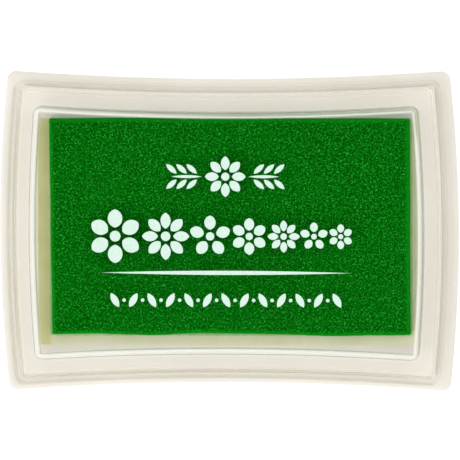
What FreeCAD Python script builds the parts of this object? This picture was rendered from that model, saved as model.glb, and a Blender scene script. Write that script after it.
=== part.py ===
"""Closed craft ink pad: a moulded base with a foam pad, under a clear lift-off lid.

Frame: millimetres, +Z up, +X along the long way of the case, origin on the table under the
middle of the case. Every outline of the case is one family of four arcs: the two long sides
dip in, the two ends bow out, and each nested outline is the outermost one moved inwards.
"""
import FreeCAD, Part
import math
import os
import Sketcher

DIMENSIONS = [
    # alias, millimetres, what it is
    ("half_length", 38.5, "middle of an end of the flange, from the centre"),
    ("half_width", 25.42, "middle of a long side of the flange, from the centre"),
    ("end_bow_radius", 245.0, "the ends bow outwards on this radius"),
    ("side_dip_radius", 475.0, "the long sides dip inwards on this radius"),
    ("flange_corner", 1.5, "outer corners of the flange and the side wall, in plan"),
    ("lid_corner", 1.6, "outer corners of the lid, in plan"),
    ("moat_corner", 1.2, "corners of the moat, in plan"),
    # heights above the table
    ("cover_bottom", 0.8, "underside of the bottom cover, inside the foot ring"),
    ("cover_top", 2.0, "seat of the bottom cover in the base"),
    ("deck_under", 11.7, "underside of the raised deck"),
    ("flange_bottom", 10.3, "underside of the flange, where fingers pull against"),
    ("flange_top", 11.6, "top of the flange"),
    ("deck_top", 13.3, "top of the raised deck, which carries the pad and locates the lid"),
    ("skirt_bottom", 11.7, "lower edge of the closed lid, just clear of the flange"),
    ("moat_under", 13.9, "underside of the lid's moat floor"),
    ("moat_top", 15.0, "moat floor, where the foot of a pad above nests"),
    ("window_under", 16.6, "underside of the lid's window"),
    ("window_top", 17.7, "top of the lid's window"),
    ("rim_top", 18.0, "top of the lid's outer rim, the highest point"),
    # insets from the flange's outline, at the ends and along the long sides
    ("rim_end", 1.75, "lid's outer face, at the ends"),
    ("rim_side", 1.25, "lid's outer face, along the sides"),
    ("lid_wall", 1.05, "thickness of the lid's skirt and rim"),
    ("window_end", 5.35, "foot of the raised window, at the ends"),
    ("window_side", 5.1, "foot of the raised window, along the sides"),
    ("window_wall", 1.0, "thickness of the wall round the raised window"),
    ("window_slope", 0.14, "how far that wall leans in over its height"),
    ("window_corner", 1.4, "corners of the raised window, in plan"),
    ("lid_gap", 0.15, "gap between the raised deck and the lid's skirt"),
    ("foot_end", 3.1, "foot ring, at the ends"),
    ("foot_side", 2.6, "foot ring, along the sides"),
    ("base_draft", 3.5, "degrees, slope of the base's side wall"),
    ("foot_wall", 0.8, "width of the foot ring round the bottom cover"),
    ("base_wall", 1.6, "thickness of the base's side wall at its foot"),
    ("cover_gap", 0.05, "gap round the bottom cover"),
    ("rib_wall", 1.2, "thickness of the ribs under the deck"),
    ("rib_pitch", 16.0, "distance between the cross ribs"),
    # edge rounding
    ("flange_round", 0.8, "rounded upper edge of the flange"),
    ("flange_under_round", 0.3, "rounded lower edge of the flange"),
    ("rim_round", 0.35, "rounded edges on top of the lid's rim"),
    ("cove_round", 1.0, "hollow curve from the rim down to the moat floor"),
    ("window_round", 0.4, "rounded edge round the top of the window"),
    ("deck_round", 0.4, "rounded edge of the raised deck"),
    # the pad and what holds it
    ("sheet_length", 63.6, "adhesive sheet, along X"),
    ("sheet_width", 37.8, "adhesive sheet, along Y"),
    ("sheet_shift_y", -0.05, "the sheet is stuck down a little off the middle, along Y"),
    ("sheet_thickness", 0.2, "adhesive sheet"),
    ("pad_length", 60.4, "foam pad, along X"),
    ("pad_width", 36.3, "foam pad, along Y"),
    ("pad_shift_x", 0.5, "the pad is stuck down a little off the middle, along X"),
    ("pad_shift_y", 1.0, "the pad is stuck down a little off the middle, along Y"),
    ("pad_top", 16.0, "inking face"),
    ("face_thickness", 1.0, "fine foam layer that the stamp touches"),
    # printed pieces
    ("print_thickness", 0.04, "ink printed on the window"),
    ("print_gap", 0.5, "clear space between printed shapes"),
    ("spray_height", 9.6, "middle of the printed spray, along Y"),
    ("spray_reach", 9.0, "half the length of the printed spray"),
    ("spray_blossom", 3.4, "radius of the blossom in the spray"),
    ("blossom_core", 0.2, "dot in a blossom, as a share of its radius"),
    ("petal_root", 0.32, "where petals start, as a share of the radius"),
    ("petal_room", 0.08, "clear space between petals, as a share of the radius"),
    ("petal_plump", 0.8, "widest petal, as a share of its length"),
    ("sprig_leaves", 3, "pairs of leaves on each sprig of the spray"),
    ("sprig_angle", 42, "degrees between a sprig and its leaves"),
    ("sprig_leaf", 0.46, "length of those leaves, as a share of the sprig's"),
    ("sprig_leaf_width", 0.17, "width of those leaves, as a share of the sprig's length"),
    ("row_start", -23.0, "left end of the row of blossoms, along X"),
    ("row_height", -0.4, "middle of the row of blossoms, along Y"),
    ("row_blossom", 4.5, "radius of the first blossom in the row"),
    ("row_shrink", 0.88, "each blossom in the row is this times the one before"),
    ("rule_height", -6.5, "printed rule, along Y"),
    ("rule_reach", 20.9, "half the length of the printed rule"),
    ("rule_width", 0.7, "printed rule, at its middle"),
    ("vine_height", -11.1, "middle of the printed row of leaves, along Y"),
    ("vine_reach", 18.6, "half the length of the row of leaves"),
    ("vine_leaf", 2.7, "length of a leaf in that row"),
    ("vine_steps", 12, "spaces between the leaves of that row"),
    ("vine_angle", 60, "degrees, slant of its leaves"),
    ("vine_plump", 0.42, "width of its leaves, as a share of their length"),
    ("vine_dot", 0.11, "radius of its dots, as a share of a leaf's length"),
    ("label_length", 46.0, "paper label under the base, along X"),
    ("label_width", 24.0, "paper label under the base, along Y"),
    ("label_corner", 2.0, "corners of the paper label"),
    ("label_thickness", 0.12, "paper label"),
]

ROW_PETALS = (6, 8, 5, 6, 8, 5, 6)  # petals of each blossom in the row

doc = FreeCAD.newDocument("InkPad")


def make_sheet():
    """Writes the driving dimensions into a spreadsheet, one alias a row."""
    sheet = doc.addObject("Spreadsheet::Sheet", "Dims")
    for row, (alias, value, meaning) in enumerate(DIMENSIONS, start=1):
        sheet.set(f"A{row}", alias)
        sheet.set(f"B{row}", str(value))
        sheet.set(f"C{row}", meaning)
        sheet.setAlias(f"B{row}", alias)
    doc.recompute()
    return sheet


sheet = make_sheet()


def bound(words):
    """Turns an expression in plain aliases into one that names the sheet."""
    parts = words.split()
    known = {alias for alias, _, _ in DIMENSIONS}
    return " ".join(f"Dims.{part}" if part in known else part for part in parts)


def value(words):
    """The number that an expression in plain aliases stands for."""
    result = sheet.evalExpression(bound(words))
    return float(getattr(result, "Value", result))


def new_body(label):
    body = doc.addObject("PartDesign::Body", label)
    body.Label = label
    return body


def flat_sketch(body, name, height):
    """An empty sketch parallel to the body's own XY plane, at a height."""
    sketch = body.newObject("Sketcher::SketchObject", name)
    plane = next(item for item in body.Origin.OriginFeatures if item.Role == "XY_Plane")
    sketch.AttachmentSupport = [(plane, "")]
    sketch.MapMode = "FlatFace"
    sketch.setExpression("AttachmentOffset.Base.z", bound(height))
    return sketch


def constrain(sketch, name, expression, *definition):
    """Adds one dimension to a sketch and binds it to the sheet."""
    constraint = Sketcher.Constraint(*definition, value(expression))
    index = sketch.addConstraint(constraint)
    sketch.renameConstraint(index, name)
    sketch.setExpression(f"Constraints.{name}", bound(expression))


def outline_corner(end_inset, side_inset):
    """Where a side arc and an end arc of a nested outline meet, in the +X +Y quarter."""
    side_radius = value("side_dip_radius") + side_inset
    side_centre = value("half_width") + value("side_dip_radius")
    end_radius = value("end_bow_radius") - end_inset
    end_centre = value("half_length") - value("end_bow_radius")
    x, y = value("half_length"), value("half_width")
    for _ in range(20):
        y = side_centre - math.sqrt(side_radius ** 2 - x ** 2)
        x = end_centre + math.sqrt(end_radius ** 2 - y ** 2)
    return x, y


def outline(body, name, end_inset, side_inset, height):
    """A nested outline: two sides that dip in and two ends that bow out."""
    sketch = flat_sketch(body, name, height)
    end, side = value(end_inset), value(side_inset)
    x, y = outline_corner(end, side)
    corners = [FreeCAD.Vector(px, py, 0) for px, py in ((-x, y), (x, y), (x, -y), (-x, -y))]
    middle_x, middle_y = value("half_length") - end, value("half_width") - side
    middles = [(0, middle_y), (middle_x, 0), (0, -middle_y), (-middle_x, 0)]
    for index, (mx, my) in enumerate(middles):
        start, stop = corners[index], corners[(index + 1) % 4]
        sketch.addGeometry(Part.Arc(start, FreeCAD.Vector(mx, my, 0), stop), False)

    def vertex(arc, corner):
        first = sketch.getPoint(arc, 1)
        return 1 if first.distanceToPoint(corner) < 0.01 else 2

    for index in range(4):
        following = (index + 1) % 4
        corner = corners[following]
        pair = (index, vertex(index, corner), following, vertex(following, corner))
        sketch.addConstraint(Sketcher.Constraint("Coincident", *pair))
    top, right, bottom, left = range(4)
    for arc in (top, bottom):
        sketch.addConstraint(Sketcher.Constraint("PointOnObject", arc, 3, -2))
        constrain(sketch, f"radius_{arc}", f"side_dip_radius + ( {side_inset} )", "Radius", arc)
    for arc in (right, left):
        sketch.addConstraint(Sketcher.Constraint("PointOnObject", arc, 3, -1))
        constrain(sketch, f"radius_{arc}", f"end_bow_radius - ( {end_inset} )", "Radius", arc)
    side_centre = "half_width + side_dip_radius"
    end_centre = "end_bow_radius - half_length"
    constrain(sketch, "centre_top", side_centre, "DistanceY", -1, 1, top, 3)
    constrain(sketch, "centre_bottom", side_centre, "DistanceY", bottom, 3, -1, 1)
    constrain(sketch, "centre_right", end_centre, "DistanceX", right, 3, -1, 1)
    constrain(sketch, "centre_left", end_centre, "DistanceX", -1, 1, left, 3)
    return sketch


def rectangle(body, name, length, width, height, centre=("0", "0")):
    """A rectangle round a centre, with its four edges dimensioned from the origin."""
    sketch = flat_sketch(body, name, height)
    half_x, half_y = value(length) / 2, value(width) / 2
    cx, cy = value(centre[0]), value(centre[1])
    corners = [
        FreeCAD.Vector(cx + sx * half_x, cy + sy * half_y, 0)
        for sx, sy in ((-1, -1), (1, -1), (1, 1), (-1, 1))
    ]
    for index in range(4):
        sketch.addGeometry(Part.LineSegment(corners[index], corners[(index + 1) % 4]), False)
    for index in range(4):
        joined = Sketcher.Constraint("Coincident", index, 2, (index + 1) % 4, 1)
        sketch.addConstraint(joined)
        direction = "Horizontal" if index % 2 == 0 else "Vertical"
        sketch.addConstraint(Sketcher.Constraint(direction, index))
    constrain(sketch, "length", length, "DistanceX", 0, 1, 0, 2)
    constrain(sketch, "width", width, "DistanceY", 1, 1, 1, 2)
    left = f"( {length} ) / 2 - ( {centre[0]} )"
    lower = f"( {width} ) / 2 - ( {centre[1]} )"
    constrain(sketch, "left", left, "DistanceX", 0, 1, -1, 1)
    constrain(sketch, "lower", lower, "DistanceY", 0, 1, -1, 1)
    return sketch


def pad(body, sketch, length, draft=None):
    """Raises a sketch upwards; a draft in degrees opens it as it rises."""
    feature = body.newObject("PartDesign::Pad", f"{sketch.Name}Pad")
    feature.Profile = sketch
    feature.setExpression("Length", bound(length))
    if draft:
        feature.setExpression("TaperAngle", bound(draft))
    sketch.Visibility = False
    doc.recompute()
    return feature


def loft(body, lower, upper):
    """Joins two outlines at different heights with straight sloping sides."""
    feature = body.newObject("PartDesign::AdditiveLoft", f"{lower.Name}Loft")
    feature.Profile = lower
    feature.Sections = [upper]
    feature.Ruled = True
    doc.recompute()
    return feature


def pocket(body, sketch, depth):
    """Cuts downwards from a sketch, and stops the build if it cut nothing."""
    before = body.Shape.Volume
    feature = body.newObject("PartDesign::Pocket", f"{sketch.Name}Pocket")
    feature.Profile = sketch
    feature.setExpression("Length", bound(depth))
    doc.recompute()
    if feature.Shape.Volume > before - 0.01:
        raise RuntimeError(f"{feature.Name} cut nothing")
    return feature


def fillet(body, base, name, radius, chosen):
    """Rounds the edges of a feature for which chosen(edge) is true."""
    names = [f"Edge{n}" for n, edge in enumerate(base.Shape.Edges, start=1) if chosen(edge)]
    if not names:
        raise RuntimeError(f"{name} found no edges")
    feature = body.newObject("PartDesign::Fillet", name)
    feature.Base = (base, names)
    feature.setExpression("Radius", bound(radius))
    doc.recompute()
    return feature


def near(a, b, tolerance=0.02):
    return abs(a - b) < tolerance


def spans(edge, low, high):
    """Whether an edge runs from one height to another."""
    box = edge.BoundBox
    return near(box.ZMin, low) and near(box.ZMax, high)


def level_at(edge, height):
    return spans(edge, height, height)


def on_outline(edge, inset, tolerance=0.1):
    """Whether an edge lies on the outline at one inset all round, corner arcs included."""
    box = edge.BoundBox
    reach_x, reach_y = max(-box.XMin, box.XMax), max(-box.YMin, box.YMax)
    corner_x, corner_y = outline_corner(value(inset), value(inset))
    return reach_x > corner_x - tolerance or reach_y > corner_y - tolerance


def base_shell():
    """One moulding: foot ring and side wall, flange, raised deck and ribs."""
    body = new_body("base_shell")
    wall = pad(body, outline(body, "Wall", "foot_end", "foot_side", "0"),
               "flange_bottom", "base_draft")
    low, high = 0.0, value("flange_bottom")
    fillet(body, wall, "WallCorners", "flange_corner", lambda e: spans(e, low, high))
    flange_sketch = outline(body, "Flange", "0", "0", "flange_bottom")
    flange = pad(body, flange_sketch, "flange_top - flange_bottom")
    low, high = value("flange_bottom"), value("flange_top")
    corners = fillet(body, flange, "FlangeCorners", "flange_corner",
                     lambda e: spans(e, low, high))
    upper = fillet(body, corners, "FlangeUpperEdge", "flange_round",
                   lambda e: level_at(e, high) and on_outline(e, "0"))
    fillet(body, upper, "FlangeLowerEdge", "flange_under_round",
           lambda e: level_at(e, low) and on_outline(e, "0"))
    inside_lid = "lid_wall + lid_gap"
    deck = pad(body, outline(body, "Deck", f"rim_end + {inside_lid}", f"rim_side + {inside_lid}",
                             "flange_top"), "deck_top - flange_top")
    fillet(body, deck, "DeckEdge", "deck_round", lambda e: level_at(e, value("deck_top")))
    pocket(body, outline(body, "Hollow", "foot_end + base_wall", "foot_side + base_wall",
                         "deck_under"), "deck_under")
    for side in (1, -1):
        rib = rectangle(body, f"LongRib{side + 1}", "2 * half_length - 2 * foot_end - base_wall",
                        "rib_wall", "cover_top", ("0", f"{side} * rib_pitch / 2"))
        pad(body, rib, "deck_under - cover_top")
    for step in (-1, 0, 1):
        rib = rectangle(body, f"CrossRib{step + 1}", "rib_wall",
                        "2 * half_width - 2 * foot_side - base_wall", "cover_top",
                        (f"{step} * rib_pitch", "0"))
        pad(body, rib, "deck_under - cover_top")
    pocket(body, outline(body, "CoverSeat", "foot_end + foot_wall", "foot_side + foot_wall",
                         "cover_top"), "cover_top")
    return body


def bottom_cover():
    """Plate pressed into the foot ring, which closes the hollow under the deck."""
    body = new_body("bottom_cover")
    inset = "foot_wall + cover_gap"
    sketch = outline(body, "Cover", f"foot_end + {inset}", f"foot_side + {inset}", "cover_bottom")
    pad(body, sketch, "cover_top - cover_bottom")
    return body


def bottom_label():
    """Paper sticker in the recess inside the foot ring."""
    body = new_body("bottom_label")
    sketch = rectangle(body, "Label", "label_length", "label_width",
                       "cover_bottom - label_thickness")
    paper = pad(body, sketch, "label_thickness")
    low, high = value("cover_bottom - label_thickness"), value("cover_bottom")
    fillet(body, paper, "LabelCorners", "label_corner", lambda e: spans(e, low, high))
    return body


def adhesive_sheet():
    """Double-sided sheet, a little larger than the pad that it holds to the deck."""
    body = new_body("adhesive_sheet")
    sketch = rectangle(body, "Sheet", "sheet_length", "sheet_width", "deck_top",
                       ("0", "sheet_shift_y"))
    pad(body, sketch, "sheet_thickness")
    return body


def foam(label, low, thickness):
    """One layer of the foam pad, cut square."""
    body = new_body(label)
    centre = ("pad_shift_x", "pad_shift_y")
    pad(body, rectangle(body, f"{label}_cut", "pad_length", "pad_width", low, centre), thickness)
    return body


def clear_lid():
    """Clear moulding: skirt, outer rim, moat and the raised window over the pad."""
    body = new_body("clear_lid")
    block = pad(body, outline(body, "Rim", "rim_end", "rim_side", "skirt_bottom"),
                "rim_top - skirt_bottom")
    low, high = value("skirt_bottom"), value("rim_top")
    fillet(body, block, "RimCorners", "lid_corner", lambda e: spans(e, low, high))
    skirt = ("rim_end + lid_wall", "rim_side + lid_wall")
    moat = pocket(body, outline(body, "Moat", *skirt, "rim_top"), "rim_top - moat_top")
    floor, top = value("moat_top"), value("rim_top")
    inner = fillet(body, moat, "MoatCorners", "moat_corner", lambda e: spans(e, floor, top))
    cove = fillet(body, inner, "Cove", "cove_round", lambda e: level_at(e, floor))
    fillet(body, cove, "RimEdges", "rim_round", lambda e: level_at(e, top))
    window = loft(body, outline(body, "Window", "window_end", "window_side", "moat_top"),
                  outline(body, "WindowTop", "window_end + window_slope",
                          "window_side + window_slope", "window_top"))
    low, high = value("moat_top"), value("window_top")
    corners = fillet(body, window, "WindowCorners", "window_corner",
                     lambda e: spans(e, low, high))
    fillet(body, corners, "WindowEdge", "window_round", lambda e: level_at(e, high))
    pocket(body, outline(body, "Skirt", *skirt, "moat_under"), "moat_under - skirt_bottom")
    inside = ("window_end + window_wall", "window_side + window_wall")
    pocket(body, outline(body, "WindowInside", *inside, "window_under"),
           "window_under - skirt_bottom")
    return body


def leaf(sketch, root, angle, length, width):
    """A pointed leaf: two arcs from its root to its tip, at an angle in degrees."""
    along = FreeCAD.Vector(math.cos(math.radians(angle)), math.sin(math.radians(angle)), 0)
    across = FreeCAD.Vector(-along.y, along.x, 0)
    tip = root + along * length
    for side in (width / 2, -width / 2):
        middle = root + along * (length / 2) + across * side
        sketch.addGeometry(Part.Arc(root, middle, tip), False)


def dot(sketch, centre, radius):
    sketch.addGeometry(Part.Circle(centre, FreeCAD.Vector(0, 0, 1), radius), False)


def blossom(sketch, centre, radius, petals):
    """A dot ringed by pointed petals."""
    gap = radius * value("petal_root")
    dot(sketch, centre, radius * value("blossom_core"))
    room = (radius + gap) * math.sin(math.pi / petals)
    width = min(room - radius * value("petal_room"), (radius - gap) * value("petal_plump"))
    for petal in range(petals):
        angle = 90 + 360 * petal / petals
        turned = math.radians(angle)
        root = centre + FreeCAD.Vector(math.cos(turned), math.sin(turned), 0) * gap
        leaf(sketch, root, angle, radius - gap, width)


def spray(sketch):
    """A blossom with a leafy sprig on each side."""
    height, gap = value("spray_height"), value("print_gap")
    radius, reach = value("spray_blossom"), value("spray_reach")
    blossom(sketch, FreeCAD.Vector(0, height, 0), radius, 8)
    stem = reach - radius - gap
    leaves, slant = round(value("sprig_leaves")), value("sprig_angle")
    length, width = stem * value("sprig_leaf"), stem * value("sprig_leaf_width")
    for side, turn in ((1, 0), (-1, 180)):
        start = FreeCAD.Vector(side * (radius + gap), height, 0)
        leaf(sketch, start, turn, stem, gap)
        for step in range(leaves):
            offset = stem * (step + gap) / leaves
            for up in (1, -1):
                root = start + FreeCAD.Vector(side * offset, up * gap, 0)
                leaf(sketch, root, turn + side * up * slant, length, width)


def blossom_row(sketch):
    """Blossoms that get smaller along the row."""
    radius, height = value("row_blossom"), value("row_height")
    x = value("row_start") + radius
    for petals in ROW_PETALS:
        blossom(sketch, FreeCAD.Vector(x, height, 0), radius, petals)
        following = radius * value("row_shrink")
        x += radius + following
        radius = following


def rule_line(sketch):
    half = value("rule_reach")
    start = FreeCAD.Vector(-half, value("rule_height"), 0)
    leaf(sketch, start, 0, 2 * half, value("rule_width"))


def vine(sketch):
    """A row of slanted leaves, with a dot in each space between them."""
    reach, height, length = value("vine_reach"), value("vine_height"), value("vine_leaf")
    steps = round(value("vine_steps"))
    pitch = 2 * reach / steps
    for step in range(steps + 1):
        x = -reach + step * pitch
        angle = value("vine_angle") * (1 if step % 2 else -1)
        slant = FreeCAD.Vector(math.cos(math.radians(angle)), math.sin(math.radians(angle)), 0)
        root = FreeCAD.Vector(x, height, 0) - slant * (length / 2)
        leaf(sketch, root, angle, length, length * value("vine_plump"))
        if step < steps:
            dot(sketch, FreeCAD.Vector(x + pitch / 2, height, 0), length * value("vine_dot"))


def lid_print():
    """White ornament printed on the window: a spray, a row of blossoms, a rule and a vine."""
    body = new_body("lid_print")
    sketch = flat_sketch(body, "Ornament", "window_top")
    spray(sketch)
    blossom_row(sketch)
    rule_line(sketch)
    vine(sketch)
    pad(body, sketch, "print_thickness")
    return body


def write_parts(bodies):
    """Checks every object and every shape, then writes one STEP file a body."""
    doc.recompute()
    failed = [item.Name for item in doc.Objects if {"Invalid", "Error"} & set(item.State)]
    if failed:
        raise RuntimeError(f"failed objects: {failed}")
    for body in bodies:
        if body.Shape.isNull() or not body.Shape.isValid():
            raise RuntimeError(f"{body.Label} has no valid shape")
    os.makedirs("parts", exist_ok=True)
    for body in bodies:
        body.Shape.exportStep(f"parts/{body.Label}.step")
        box = body.Shape.optimalBoundingBox()
        print(f"{body.Label}: {len(body.Shape.Solids)} solid(s), {body.Shape.Volume:.1f} mm3,"
              f" z {box.ZMin:.2f} to {box.ZMax:.2f}")


foam_bottom = "deck_top + sheet_thickness"
face_bottom = "pad_top - face_thickness"
write_parts([
    base_shell(),
    bottom_cover(),
    bottom_label(),
    adhesive_sheet(),
    foam("reservoir_sponge", foam_bottom, f"{face_bottom} - ( {foam_bottom} )"),
    foam("ink_face", face_bottom, "face_thickness"),
    clear_lid(),
    lid_print(),
])
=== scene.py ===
"""Looks of a closed craft ink pad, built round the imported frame. Units are metres."""

import bpy
from mathutils import Matrix, Vector, noise


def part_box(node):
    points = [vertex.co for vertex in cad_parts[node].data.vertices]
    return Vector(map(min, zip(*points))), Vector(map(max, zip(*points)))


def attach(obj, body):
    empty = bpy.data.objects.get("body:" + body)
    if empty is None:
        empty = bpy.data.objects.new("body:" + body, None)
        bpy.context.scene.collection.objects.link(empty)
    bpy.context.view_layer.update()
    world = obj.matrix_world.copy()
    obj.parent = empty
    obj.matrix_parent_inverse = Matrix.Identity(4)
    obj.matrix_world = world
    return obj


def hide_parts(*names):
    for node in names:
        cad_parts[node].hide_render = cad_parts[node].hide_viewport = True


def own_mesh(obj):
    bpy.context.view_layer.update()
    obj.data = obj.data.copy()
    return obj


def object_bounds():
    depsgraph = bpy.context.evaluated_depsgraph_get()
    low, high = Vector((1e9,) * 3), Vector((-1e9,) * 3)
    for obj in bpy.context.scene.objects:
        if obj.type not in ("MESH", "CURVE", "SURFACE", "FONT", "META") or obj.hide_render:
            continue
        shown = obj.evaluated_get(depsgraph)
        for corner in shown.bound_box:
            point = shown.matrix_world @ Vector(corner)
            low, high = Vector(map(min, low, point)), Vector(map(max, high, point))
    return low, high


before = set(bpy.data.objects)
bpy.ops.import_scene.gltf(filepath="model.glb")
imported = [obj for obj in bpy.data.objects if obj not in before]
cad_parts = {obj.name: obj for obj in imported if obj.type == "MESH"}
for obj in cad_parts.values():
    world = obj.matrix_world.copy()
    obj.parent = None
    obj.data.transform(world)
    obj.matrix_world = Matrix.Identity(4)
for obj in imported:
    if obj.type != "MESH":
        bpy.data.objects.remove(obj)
cad_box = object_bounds()

MM = 0.001


def srgb(red, green, blue):
    """A display colour, 0 to 255, as the linear colour that shaders take."""
    def linear(level):
        level /= 255
        return level / 12.92 if level <= 0.04045 else ((level + 0.055) / 1.055) ** 2.4
    return (linear(red), linear(green), linear(blue), 1.0)


# ---------------------------------------------------------------- node helpers

class Shader:
    """A material with one Principled node, and short ways to add what feeds it."""

    def __init__(self, name, **constants):
        self.material = bpy.data.materials.new(name)
        self.material.use_nodes = True
        self.tree = self.material.node_tree
        self.surface = self.tree.nodes["Principled BSDF"]
        self.output = self.tree.nodes["Material Output"]
        for socket, level in constants.items():
            self.surface.inputs[socket.replace("_", " ")].default_value = level

    def add(self, kind, links=None, **settings):
        node = self.tree.nodes.new(kind)
        for key, setting in settings.items():
            if key in node.inputs:
                node.inputs[key].default_value = setting
            else:
                setattr(node, key, setting)
        for socket, source in (links or {}).items():
            self.tree.links.new(source, node.inputs[socket])
        return node

    def link(self, source, socket):
        self.tree.links.new(source, self.surface.inputs[socket])

    def place(self):
        """Where a point lies on the object, in metres."""
        return self.add("ShaderNodeTexCoord").outputs["Object"]

    def noise(self, size, detail=2.0, distortion=0.0):
        """Noise whose lumps are about size metres across, from 0 to 1."""
        node = self.add("ShaderNodeTexNoise", {"Vector": self.place()})
        node.inputs["Scale"].default_value = 1 / size
        node.inputs["Detail"].default_value = detail
        node.inputs["Distortion"].default_value = distortion
        return node.outputs["Fac"]

    def ramp(self, source, *stops):
        """A colour ramp through (position, colour) stops."""
        node = self.add("ShaderNodeValToRGB", {"Fac": source})
        elements = node.color_ramp.elements
        while len(elements) < len(stops):
            elements.new(0.5)
        for element, (position, colour) in zip(elements, stops):
            element.position, element.color = position, colour
        return node.outputs["Color"]

    def levels(self, source, low, high, to_low=0.0, to_high=1.0):
        """Maps low..high to to_low..to_high."""
        node = self.add("ShaderNodeMapRange", {"Value": source})
        for socket, level in zip(("From Min", "From Max", "To Min", "To Max"),
                                 (low, high, to_low, to_high)):
            node.inputs[socket].default_value = level
        return node.outputs["Result"]

    def mix(self, factor, first, second):
        """Mixes two colours, each a socket or a colour."""
        node = self.add("ShaderNodeMix", data_type="RGBA")
        for socket, source in ((0, factor), (6, first), (7, second)):
            if hasattr(source, "links"):
                self.tree.links.new(source, node.inputs[socket])
            else:
                node.inputs[socket].default_value = source
        return node.outputs[2]

    def math(self, operation, first, second):
        """One sum of two numbers, each a socket or a number."""
        node = self.add("ShaderNodeMath", operation=operation)
        for index, source in enumerate((first, second)):
            if hasattr(source, "links"):
                self.tree.links.new(source, node.inputs[index])
            else:
                node.inputs[index].default_value = source
        return node.outputs[0]

    def product(self, *factors):
        """Several numbers multiplied, each a socket or a number."""
        result = factors[0]
        for factor in factors[1:]:
            result = self.math("MULTIPLY", result, factor)
        return result

    def absolute(self, source):
        return self.math("ABSOLUTE", source, 0.0)

    def band(self, source, start, full, fade, end):
        """1 between full and fade, running out to 0 at start and end."""
        return self.product(self.levels(source, start, full),
                            self.levels(source, fade, end, 1.0, 0.0))

    def bump(self, height, depth, strength=1.0):
        """Relief of a depth in metres from a 0 to 1 height."""
        node = self.add("ShaderNodeBump", {"Height": height})
        node.inputs["Distance"].default_value = depth
        node.inputs["Strength"].default_value = strength
        return node.outputs["Normal"]


# ---------------------------------------------------------------- materials

def cream_plastic():
    """Satin cream moulding: slight mottle and faint waves from the mould."""
    shader = Shader("cream_plastic", IOR=1.5)
    mottle = shader.noise(14 * MM, detail=3)
    shader.link(shader.ramp(mottle, (0.3, srgb(233, 226, 215)), (0.7, srgb(238, 232, 222))),
                "Base Color")
    shader.link(shader.levels(shader.noise(5 * MM, detail=2), 0.3, 0.7, 0.34, 0.44), "Roughness")
    shader.link(shader.bump(shader.noise(8 * MM, detail=1), 0.02 * MM, 0.3), "Normal")
    return shader.material


LEAST_REFLECTION = 0.03  # share of light that polystyrene reflects where it is met head on
SIDE_MIDDLE = 25.42 * MM  # from the middle of the case to the middle of a long side
SIDE_RADIUS = 475 * MM  # the long sides dip in along this radius
END_RADIUS = 245 * MM  # the ends bow out along this radius
WINDOW_SIDE = 5.1 * MM  # foot of the raised window, in from the long sides
WINDOW_END = 5.35 * MM  # and in from the ends
WINDOW_WALL = 1.4 * MM  # its wall with the rounding, and its corners in plan
MOAT_FLOOR = 15.0 * MM  # top of the lid's floor between the rim and the window
WINDOW_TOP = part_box("lid_print")[0].z
WALL_LIGHT, WALL_TOP_LIGHT, MOAT_LIGHT = 0.9, 0.5, 0.3  # how much painted highlight shows on the walls, over the window's wall and on the moat floor
FOOT_LINE = 0.6  # how strongly the painted dark line at the window's foot shows
PAINTED_PAD_GREEN = 0.9  # how strongly the painted reflection of the pad's green shows in the window's far wall


def inward_wall(shader):
    """1 on upright walls that face the middle of the object, 0 elsewhere."""
    geometry = shader.add("ShaderNodeNewGeometry").outputs
    outward = shader.add("ShaderNodeVectorMath", {0: shader.place(), 1: geometry["Normal"]},
                         operation="DOT_PRODUCT").outputs["Value"]
    flip = shader.levels(geometry["Backfacing"], 0, 1, 1, -1)
    upward = shader.add("ShaderNodeSeparateXYZ", {"Vector": geometry["Normal"]}).outputs["Z"]
    steep = shader.levels(shader.absolute(upward), 0.6, 0.2)
    return shader.product(shader.math("LESS_THAN", shader.product(outward, flip), 0.0), steep)


def past_window_foot(shader, split):
    """How far inside the foot of the raised window a point lies, up to WINDOW_WALL."""
    def bow(axis, radius):
        """How far an arc leaves its tangent, at a place along an axis."""
        return shader.math("DIVIDE", shader.product(split[axis], split[axis]), 2 * radius)

    def short_of(axis, edge):
        """What is missing to the full wall, along one axis."""
        inside = shader.math("SUBTRACT", edge, shader.absolute(split[axis]))
        return shader.math("MAXIMUM", shader.math("SUBTRACT", WINDOW_WALL, inside), 0.0)

    side = shader.math("ADD", SIDE_MIDDLE - WINDOW_SIDE, bow("X", SIDE_RADIUS))
    end = shader.math("SUBTRACT", cad_box[1].x - WINDOW_END, bow("Y", END_RADIUS))
    across, along = short_of("Y", side), short_of("X", end)
    squares = shader.math("ADD", shader.product(across, across), shader.product(along, along))
    return shader.math("SUBTRACT", WINDOW_WALL, shader.math("POWER", squares, 0.5))


def see_through(shader, facing, split, past):
    """The clear part of the lid, with a thin dark line of painted shade at the foot of the
    window.
    """
    tint = shader.ramp(facing, (0.5, (1, 1, 1, 1)), (1.0, srgb(222, 224, 214)))
    # painted shade: a thin dark line along the foot of the window
    foot = shader.band(past, -0.12 * MM, 0.0, 0.14 * MM, 0.3 * MM)
    raised = shader.levels(split["Z"], MOAT_FLOOR + 0.4 * MM, MOAT_FLOOR + 0.7 * MM)
    tint = shader.mix(shader.product(foot, raised, FOOT_LINE), tint, srgb(120, 128, 106))
    return shader.add("ShaderNodeBsdfTransparent", {"Color": tint}).outputs["BSDF"]


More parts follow.
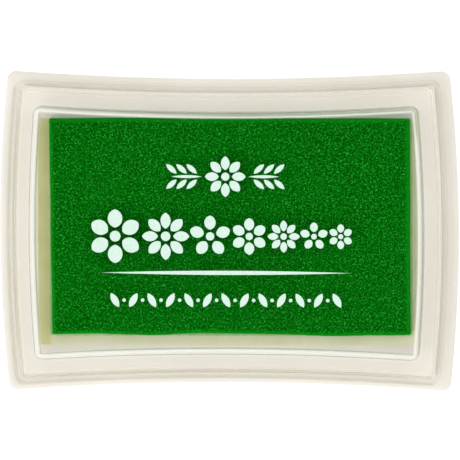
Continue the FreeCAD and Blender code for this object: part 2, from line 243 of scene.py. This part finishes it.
def painted_wall_light(shader, split, past):
    """Painted highlight in the lid's walls: warm over the moat, with a painted reflection of the
    pad's green in the far wall.
    """
    colour = shader.mix(shader.levels(past, -0.4 * MM, 0.0), srgb(255, 247, 235),
                        srgb(252, 253, 246))
    # painted reflection: the pad's green side, seen in the window's far wall
    far_side = shader.product(shader.levels(split["Y"], 15 * MM, 18 * MM),
                              shader.levels(split["X"], -14 * MM, 2 * MM))
    in_wall = shader.band(past, 0.1 * MM, 0.3 * MM, 0.5 * MM, 0.9 * MM)
    stain_and_painted_green = shader.product(far_side, in_wall, PAINTED_PAD_GREEN)
    colour = shader.mix(stain_and_painted_green, colour, srgb(122, 172, 116))
    return shader.add("ShaderNodeBsdfDiffuse", {"Color": colour}).outputs["BSDF"]


def painted_light_share(shader, facing, split, past):
    """How much of the painted highlight shows, from 0 to 1."""
    # painted highlight: on upright walls facing the middle, along the top over the window's
    # wall, and on the moat floor
    walls = shader.product(inward_wall(shader), shader.levels(facing, 0.5, 0.8, 0.0, WALL_LIGHT))
    on_window = shader.levels(split["Z"], WINDOW_TOP - 0.5 * MM, WINDOW_TOP - 0.2 * MM)
    over_wall = shader.band(past, 0.3 * MM, 0.6 * MM, 0.85 * MM, 1.15 * MM)
    on_floor = shader.band(split["Z"], MOAT_FLOOR - 0.4 * MM, MOAT_FLOOR - 0.1 * MM,
                           MOAT_FLOOR + 0.1 * MM, MOAT_FLOOR + 0.8 * MM)
    wall_top = shader.product(on_window, over_wall, WALL_TOP_LIGHT)
    return shader.math("MAXIMUM", shader.math("MAXIMUM", walls, wall_top),
                       shader.product(on_floor, MOAT_LIGHT))


def clear_plastic():
    """Clear polystyrene: flat where it is met head on, glossier at its walls, and paler there
    with painted highlight.
    """
    shader = Shader("clear_plastic", Metallic=1.0)
    streak = shader.noise(12 * MM, detail=2)
    shader.link(shader.ramp(streak, (0.3, srgb(250, 249, 246)), (0.7, srgb(255, 254, 252))),
                "Base Color")
    shader.link(shader.levels(shader.noise(2 * MM), 0.3, 0.7, 0.03, 0.08), "Roughness")
    facing = shader.add("ShaderNodeLayerWeight", Blend=0.5).outputs["Facing"]
    split = shader.add("ShaderNodeSeparateXYZ", {"Vector": shader.place()}).outputs
    past = past_window_foot(shader, split)
    path = shader.add("ShaderNodeLightPath").outputs
    lighting = shader.math("MAXIMUM", path["Is Shadow Ray"], path["Is Diffuse Ray"])
    seen = shader.math("SUBTRACT", 1.0, lighting)
    reflection = shader.levels(shader.math("POWER", facing, 5.0), 0, 1, LEAST_REFLECTION, 1)
    body = see_through(shader, facing, split, past)
    for share, layer in (
        (reflection, shader.surface.outputs["BSDF"]),
        (painted_light_share(shader, facing, split, past), painted_wall_light(shader, split, past)),
    ):
        mix = shader.add("ShaderNodeMixShader", {"Fac": shader.product(share, seen)})
        shader.tree.links.new(body, mix.inputs[1])
        shader.tree.links.new(layer, mix.inputs[2])
        body = mix.outputs["Shader"]
    shader.tree.links.new(body, shader.output.inputs["Surface"])
    return shader.material


def inked_foam(name, grain_size, dark, middle, light):
    """Foam soaked with green ink: grain inside, and a smoother, brighter cut edge."""
    shader = Shader(name, IOR=1.33, Roughness=0.5)
    shader.surface.inputs["Specular IOR Level"].default_value = 0.02
    grain = shader.noise(grain_size, detail=1.0, distortion=0.8)
    colour = shader.ramp(grain, (0.32, dark), (0.55, middle), (0.70, light))
    cloud = shader.levels(shader.noise(9 * MM, detail=2), 0.35, 0.65, 0.0, 0.12)
    colour = shader.mix(cloud, colour, srgb(0, 124, 20))
    fringe = shader.add("ShaderNodeAttribute", attribute_name="fringe").outputs["Fac"]
    bright = shader.mix(shader.noise(0.5 * MM), srgb(2, 132, 8), srgb(14, 158, 28))
    shader.link(shader.mix(fringe, colour, bright), "Base Color")
    shader.link(shader.bump(grain, 0.10 * MM, 0.6), "Normal")
    return shader.material


def stained_adhesive():
    """Khaki double-sided sheet: deeper at its two ends, paler towards the right end with painted
    light against the pad's shade, and greener close to the pad.
    """
    shader = Shader("stained_adhesive", IOR=1.45, Roughness=0.5)
    shader.surface.inputs["Specular IOR Level"].default_value = 0.3
    stain_and_painted_green = shader.noise(5 * MM, detail=3)
    pale = shader.ramp(stain_and_painted_green, (0.3, srgb(234, 228, 194)), (0.7, srgb(244, 238, 210)))
    deep = shader.ramp(stain_and_painted_green, (0.3, srgb(210, 204, 144)), (0.7, srgb(224, 216, 162)))
    low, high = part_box("ink_face")
    split = shader.add("ShaderNodeSeparateXYZ", {"Vector": shader.place()}).outputs

    def beyond(axis, start, stop):
        """How far a point lies outside the pad along one axis."""
        from_middle = shader.math("SUBTRACT", split[axis], (start + stop) / 2)
        return shader.math("SUBTRACT", shader.absolute(from_middle), (stop - start) / 2)

    past_end, past_side = beyond("X", low.x, high.x), beyond("Y", low.y, high.y)
    colour = shader.mix(shader.levels(past_end, -0.5 * MM, 0.5 * MM), pale, deep)
    # painted light: paler towards the right end, lifting the shade the pad casts on the sheet
    # there
    painted_light_right_end = shader.levels(split["X"], high.x - 2 * MM, high.x, 0.0, 0.8)
    colour = shader.mix(painted_light_right_end, colour, pale)
    # greener within about half a millimetre of the pad, with a ragged edge
    away = shader.math("MAXIMUM", past_end, past_side)
    ragged = shader.math("ADD", away, shader.product(shader.noise(1.2 * MM), 0.3 * MM))
    green_near_pad = shader.levels(ragged, 0.1 * MM, 0.5 * MM, 0.75, 0.0)
    shader.link(shader.mix(green_near_pad, colour, srgb(96, 190, 84)), "Base Color")
    shader.link(shader.bump(shader.noise(0.4 * MM), 0.03 * MM, 0.5), "Normal")
    return shader.material


def white_ink():
    """Screen-printed white ink with a faint mesh grain."""
    shader = Shader("white_ink", IOR=1.45)
    grain = shader.noise(0.35 * MM)
    shader.link(shader.ramp(grain, (0.3, srgb(206, 232, 218)), (0.7, srgb(220, 242, 230))),
                "Base Color")
    shader.surface.inputs["Roughness"].default_value = 0.45
    shader.link(shader.bump(grain, 0.006 * MM, 0.4), "Normal")
    return shader.material


def label_paper():
    """Paper sticker with a printed swatch of the ink's colour and three plain rules."""
    shader = Shader("label_paper", IOR=1.45, Roughness=0.6)
    fibre = shader.noise(0.3 * MM, detail=4)
    paper = shader.ramp(fibre, (0.3, srgb(236, 234, 226)), (0.7, srgb(246, 245, 240)))
    place = shader.add("ShaderNodeSeparateXYZ", {"Vector": shader.place()})
    x, y = place.outputs["X"], place.outputs["Y"]

    def within(coordinate, middle, half):
        """1 where a coordinate is within half of middle, with a slightly soft edge."""
        away = shader.absolute(shader.math("SUBTRACT", coordinate, middle))
        return shader.levels(away, half + 0.05 * MM, half - 0.05 * MM)

    def patch(x_middle, x_half, y_middle, y_half):
        return shader.product(within(x, x_middle, x_half), within(y, y_middle, y_half))

    low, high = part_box("bottom_label")
    length, width = high.x - low.x, high.y - low.y
    colour = shader.mix(patch(-length * 0.25, length * 0.19, 0, width * 0.34),
                        paper, srgb(8, 112, 24))
    for step in (-1, 0, 1):
        rule = patch(length * 0.22, length * 0.2, step * width * 0.24, 0.35 * MM)
        colour = shader.mix(rule, colour, srgb(120, 122, 120))
    shader.link(colour, "Base Color")
    shader.link(shader.bump(fibre, 0.01 * MM, 0.5), "Normal")
    return shader.material


def paint(node, material):
    """Gives a CAD node one material in all its slots."""
    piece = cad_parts[node]
    for slot in piece.material_slots:
        slot.link = "OBJECT"
        slot.material = material


# ---------------------------------------------------------------- foam pad

FOAM_PITCH = 0.2 * MM
FRINGE_WIDTH = 0.7 * MM
FOAM_LUMPS = 0.8 * MM
FOAM_SEED = Vector((3.7, 1.3, 0.0))
SIDE_ROWS = 5  # steps down the cut sides
SIDE_PULL = 0.05 * MM  # how deep the grain bites into the cut sides


def wobble(along, lane, size, depth):
    """A smooth hand-cut deviation at a place along an edge."""
    return depth * noise.noise(Vector((along / size, lane * 7.1, 0.0)) + FOAM_SEED)


def cut_outline(low, high, u, v):
    """A point of the hand-cut rectangle at shares u, v of its length and width."""
    x, y = low.x + u * (high.x - low.x), low.y + v * (high.y - low.y)
    left = low.x + 0.05 * MM + 0.3 * MM * (1 - v) + wobble(y, 1, 9 * MM, 0.1 * MM)
    right = high.x - 0.1 * MM + wobble(y, 2, 12 * MM, 0.12 * MM)
    lower = low.y + 0.15 * MM + wobble(x, 3, 8 * MM, 0.35 * MM)
    upper = high.y - 0.06 * MM + wobble(x, 4, 11 * MM, 0.1 * MM)
    return left + u * (right - left), lower + v * (upper - lower)


def foam_layer(name, node, material, sag, side_grain, grain_depth):
    """A closed slab of foam in a CAD node's box: grained top, cut sides, flat underside."""
    low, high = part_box(node)
    columns = round((high.x - low.x) / FOAM_PITCH)
    rows = round((high.y - low.y) / FOAM_PITCH)
    verts, fringe = [], []

    def top_point(column, row):
        x, y = cut_outline(low, high, column / columns, row / rows)
        edge = min(column, columns - column, row, rows - row) * FOAM_PITCH
        near_edge = max(0.0, 1 - edge / FRINGE_WIDTH)
        grain = noise.noise(Vector((x, y, 0)) / FOAM_LUMPS) * (1 - near_edge)
        z = high.z - grain_depth + grain * grain_depth - sag * near_edge ** 2
        return (x, y, z), near_edge

    for row in range(rows + 1):
        for column in range(columns + 1):
            point, near_edge = top_point(column, row)
            verts.append(point)
            fringe.append(near_edge)
    stride = columns + 1
    faces = [
        (a, a + 1, a + stride + 1, a + stride)
        for row in range(rows) for a in range(row * stride, row * stride + columns)
    ]
    rim = list(range(columns))
    rim += [columns + row * stride for row in range(rows)]
    rim += [rows * stride + columns - step for step in range(columns)]
    rim += [(rows - step) * stride for step in range(rows)]
    above = rim
    middle_x, middle_y = (low.x + high.x) / 2, (low.y + high.y) / 2
    for level in range(1, SIDE_ROWS + 1):
        ring = []
        for index in rim:
            x, y, z = verts[index]
            drop = z + (low.z - z) * (level / SIDE_ROWS)
            pull = 0.0
            if level < SIDE_ROWS:
                cell = Vector((x, y, drop)) / side_grain
                pull = SIDE_PULL * (noise.noise(cell) + 1)
            inward = Vector((middle_x - x, middle_y - y, 0)).normalized() * pull
            ring.append(len(verts))
            verts.append((x + inward.x, y + inward.y, drop))
            fringe.append(1.0)
        count = len(rim)
        faces += [
            (above[(i + 1) % count], above[i], ring[i], ring[(i + 1) % count])
            for i in range(count)
        ]
        above = ring
    faces.append(tuple(reversed(above)))
    mesh = bpy.data.meshes.new(name)
    mesh.from_pydata(verts, [], faces)
    mesh.attributes.new("fringe", "FLOAT", "POINT").data.foreach_set("value", fringe)
    mesh.materials.append(material)
    for polygon in mesh.polygons:
        polygon.use_smooth = len(polygon.vertices) == 4
    piece = bpy.data.objects.new(name, mesh)
    bpy.context.scene.collection.objects.link(piece)
    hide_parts(node)
    return piece


def make_pad():
    """The two foam layers: the upper goes with the pad face, which sinks when pressed, and the
    lower with the base.
    """
    fine = inked_foam("fine_foam", 0.28 * MM, srgb(0, 66, 0), srgb(0, 105, 2),
                      srgb(36, 160, 46))
    face = foam_layer("inking_layer", "ink_face", fine, 0.22 * MM, 0.5 * MM, 0.03 * MM)
    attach(face, "pad_face")
    coarse = inked_foam("coarse_foam", 0.7 * MM, srgb(2, 60, 6), srgb(8, 96, 14),
                        srgb(30, 132, 40))
    sponge = foam_layer("sponge_layer", "reservoir_sponge", coarse, 0.02 * MM, 0.9 * MM, 0.0)
    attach(sponge, "base")
    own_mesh(sponge)


# ---------------------------------------------------------------- stage

SKY_LEVELS = ((0.0, 0.7), (0.4, 1.0), (0.93, 1.0), (0.975, 0.004))  # height, brightness
WORLD_STRENGTH = 1.0
TABLE_GLOW = 0.3  # seen by the camera, and lights nothing
TABLE_HALF = 3.0
TABLE_GAP = 0.05 * MM
LIGHTS = (  # name, place, size, power
    ("key", (-0.5, -0.45, 0.6), 0.6, 2.3),
    ("fill", (0.6, 0.4, 0.5), 0.5, 0.7),
)


def make_surroundings():
    """White sky, a little dimmer at the horizon, and dark straight overhead."""
    world = bpy.data.worlds.new("studio")
    world.use_nodes = True
    tree = world.node_tree
    place = tree.nodes.new("ShaderNodeTexCoord")
    split = tree.nodes.new("ShaderNodeSeparateXYZ")
    tree.links.new(place.outputs["Generated"], split.inputs["Vector"])
    ramp = tree.nodes.new("ShaderNodeValToRGB")
    tree.links.new(split.outputs["Z"], ramp.inputs["Fac"])
    stops = ramp.color_ramp.elements
    while len(stops) < 4:
        stops.new(0.5)
    for stop, (height, level) in zip(stops, SKY_LEVELS):
        stop.position, stop.color = height, (level, level, level, 1)
    background = tree.nodes["Background"]
    tree.links.new(ramp.outputs["Color"], background.inputs["Color"])
    background.inputs["Strength"].default_value = WORLD_STRENGTH
    bpy.context.scene.world = world


def make_stage():
    """Pale floor, soft white surroundings and two large soft lights."""
    mesh = bpy.data.meshes.new("floor")
    height = cad_box[0].z - TABLE_GAP
    corners = [(x * TABLE_HALF, y * TABLE_HALF, height)
               for x, y in ((-1, -1), (1, -1), (1, 1), (-1, 1))]
    mesh.from_pydata(corners, [], [(0, 1, 2, 3)])
    floor = bpy.data.objects.new("floor", mesh)
    bpy.context.scene.collection.objects.link(floor)
    shader = Shader("light_table", Roughness=0.7)
    shader.surface.inputs["Emission Color"].default_value = (1, 1, 1, 1)
    seen = shader.add("ShaderNodeLightPath").outputs["Is Camera Ray"]
    shader.link(shader.levels(seen, 0, 1, 0.0, TABLE_GLOW), "Emission Strength")
    shader.link(shader.ramp(shader.noise(0.4), (0.3, srgb(250, 250, 250)),
                            (0.7, srgb(252, 252, 252))), "Base Color")
    mesh.materials.append(shader.material)
    make_surroundings()
    for name, place, size, power in LIGHTS:
        light = bpy.data.lights.new(name, "AREA")
        light.size = size
        light.energy = power
        lamp = bpy.data.objects.new(name, light)
        lamp.location = place
        lamp.rotation_mode = "QUATERNION"
        lamp.rotation_quaternion = (-Vector(place)).to_track_quat("-Z", "Y")
        bpy.context.scene.collection.objects.link(lamp)
    bpy.context.scene.view_settings.view_transform = "Standard"


CAMERA_DISTANCE = 2.5
CAMERA_LEAN_X = 0.086  # how far the camera stands to the right, as a share of its height
CAMERA_LEAN_Y = 0.081  # and towards the far side
FRAME_WIDTH = 76.93 * MM  # what the picture spans at the flange
AIM = (0.17 * MM, 0.13 * MM)
FLANGE_HEIGHT = 11.0 * MM


def make_camera():
    """A long lens, almost straight above, a little to the right and to the far side."""
    target = Vector((*AIM, FLANGE_HEIGHT))
    back = Vector((CAMERA_LEAN_X, CAMERA_LEAN_Y, 1)).normalized()
    level_up = back.cross(Vector((1, 0, 0)))
    plumb_up = Vector((0, 1, 0)) - back * back.y
    up = (2 * level_up.normalized() + plumb_up.normalized()).normalized()
    right = up.cross(back)
    data = bpy.data.cameras.new("camera")
    data.sensor_width = 36
    data.lens = data.sensor_width * CAMERA_DISTANCE / FRAME_WIDTH
    data.clip_start, data.clip_end = 0.05, 10
    camera = bpy.data.objects.new("camera", data)
    turn = Matrix((right, up, back)).transposed().to_4x4()
    camera.matrix_world = Matrix.Translation(target + back * CAMERA_DISTANCE) @ turn
    bpy.context.scene.collection.objects.link(camera)
    bpy.context.scene.camera = camera


make_stage()
make_camera()
cream = cream_plastic()
paint("base_shell", cream)
paint("bottom_cover", cream)
paint("clear_lid", clear_plastic())
make_pad()
paint("adhesive_sheet", stained_adhesive())
paint("lid_print", white_ink())
paint("bottom_label", label_paper())
